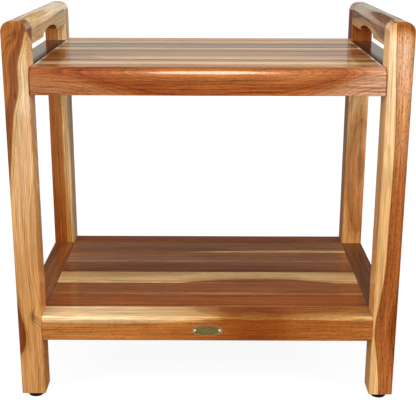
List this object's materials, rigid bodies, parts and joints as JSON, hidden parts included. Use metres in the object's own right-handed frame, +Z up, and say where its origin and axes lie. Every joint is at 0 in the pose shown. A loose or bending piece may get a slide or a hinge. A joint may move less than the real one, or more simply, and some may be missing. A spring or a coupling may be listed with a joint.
{
  "type": "shower bench",
  "caption": "Teak shower bench with a slatted seat, a slatted lower shelf, a rounded grip with a finger scallop at each end and screw-out levelling feet.",
  "frame": {"origin": "on the floor under the middle of the bench, with the feet screwed right in", "axes": "+Z up, +Y from the front (the side with the oval plate) to the back, +X to the right as seen from the front"},
  "size_m": [0.508, 0.3409, 0.514],
  "materials": {
    "teak_post_left_front": "oiled teak, pale sapwood with a brown heartwood edge, satin varnish",
    "teak_post_right_front": "oiled teak, golden heartwood with a pale sapwood strip, satin varnish",
    "teak_post_back": "oiled teak, orange-brown heartwood, satin varnish",
    "teak_grip_left": "oiled teak, tan sapwood, satin varnish",
    "teak_grip_right": "oiled teak, grey-brown, satin varnish",
    "teak_seat_front": "oiled teak, orange-brown heartwood with long cathedral grain, satin varnish",
    "teak_shelf_front": "oiled teak, golden brown with a pale sapwood edge, satin varnish",
    "teak_brown": "oiled teak, brown heartwood, satin varnish",
    "teak_gold": "oiled teak, golden brown, satin varnish",
    "teak_red": "oiled teak, reddish brown heartwood, satin varnish",
    "teak_dark": "oiled teak, dark heartwood, satin varnish",
    "teak_tan": "oiled teak, light tan, satin varnish",
    "badge_brass": "aged olive brass",
    "insert_brass": "plain brass",
    "stud_steel": "plain stainless steel",
    "screw_steel": "plain stainless steel",
    "black_nylon": "black nylon, matt"
  },
  "bodies": {
    "bench": {"left_front_post": "teak_post_left_front", "right_front_post": "teak_post_right_front", "left_back_post": "teak_post_back", "right_back_post": "teak_post_back", "left_grip": "teak_grip_left", "right_grip": "teak_grip_right", "seat_front_rail": "teak_seat_front", "seat_back_rail": "teak_brown", "seat_left_rail": "teak_dark", "seat_right_rail": "teak_dark", "seat_slat_1": "teak_brown", "seat_slat_2": "teak_gold", "seat_slat_3": "teak_tan", "seat_slat_4": "teak_brown", "seat_slat_5": "teak_red", "seat_slat_6": "teak_tan", "seat_batten": "teak_brown", "seat_batten_screws": "screw_steel", "shelf_front_rail": "teak_shelf_front", "shelf_back_rail": "teak_brown", "shelf_left_rail": "teak_dark", "shelf_right_rail": "teak_dark", "shelf_slat_1": "teak_red", "shelf_slat_2": "teak_red", "shelf_slat_3": "teak_tan", "shelf_slat_4": "teak_dark", "shelf_slat_5": "teak_brown", "shelf_slat_6": "teak_brown", "shelf_batten": "teak_brown", "shelf_batten_screws": "screw_steel", "badge_plate": "badge_brass", "badge_pins": "badge_brass", "left_front_insert": "insert_brass", "right_front_insert": "insert_brass", "left_back_insert": "insert_brass", "right_back_insert": "insert_brass"},
    "left_front_screw": {"left_front_stud": "stud_steel"},
    "left_front_foot": {"left_front_pad": "black_nylon"},
    "right_front_screw": {"right_front_stud": "stud_steel"},
    "right_front_foot": {"right_front_pad": "black_nylon"},
    "left_back_screw": {"left_back_stud": "stud_steel"},
    "left_back_foot": {"left_back_pad": "black_nylon"},
    "right_back_screw": {"right_back_stud": "stud_steel"},
    "right_back_foot": {"right_back_pad": "black_nylon"}
  },
  "joints": [
    {"name": "left_front_screw_out", "type": "slide", "parent": "bench", "child": "left_front_screw", "axis": [0, 0, -1], "range_m": [0, 0.008]},
    {"name": "left_front_foot_turn", "type": "hinge", "parent": "left_front_screw", "child": "left_front_foot", "pos_m": [-0.238, -0.1515, 0], "axis": [0, 0, -1], "range_deg": [0, 2304]},
    {"name": "right_front_screw_out", "type": "slide", "parent": "bench", "child": "right_front_screw", "axis": [0, 0, -1], "range_m": [0, 0.008]},
    {"name": "right_front_foot_turn", "type": "hinge", "parent": "right_front_screw", "child": "right_front_foot", "pos_m": [0.238, -0.1515, 0], "axis": [0, 0, -1], "range_deg": [0, 2304]},
    {"name": "left_back_screw_out", "type": "slide", "parent": "bench", "child": "left_back_screw", "axis": [0, 0, -1], "range_m": [0, 0.008]},
    {"name": "left_back_foot_turn", "type": "hinge", "parent": "left_back_screw", "child": "left_back_foot", "pos_m": [-0.238, 0.1515, 0], "axis": [0, 0, -1], "range_deg": [0, 2304]},
    {"name": "right_back_screw_out", "type": "slide", "parent": "bench", "child": "right_back_screw", "axis": [0, 0, -1], "range_m": [0, 0.008]},
    {"name": "right_back_foot_turn", "type": "hinge", "parent": "right_back_screw", "child": "right_back_foot", "pos_m": [0.238, 0.1515, 0], "axis": [0, 0, -1], "range_deg": [0, 2304]}
  ],
  "couplings": [
    {"joint": "left_front_screw_out", "follows": "left_front_foot_turn", "m_per_rad": 0.0001989},
    {"joint": "right_front_screw_out", "follows": "right_front_foot_turn", "m_per_rad": 0.0001989},
    {"joint": "left_back_screw_out", "follows": "left_back_foot_turn", "m_per_rad": 0.0001989},
    {"joint": "right_back_screw_out", "follows": "right_back_foot_turn", "m_per_rad": 0.0001989}
  ]
}
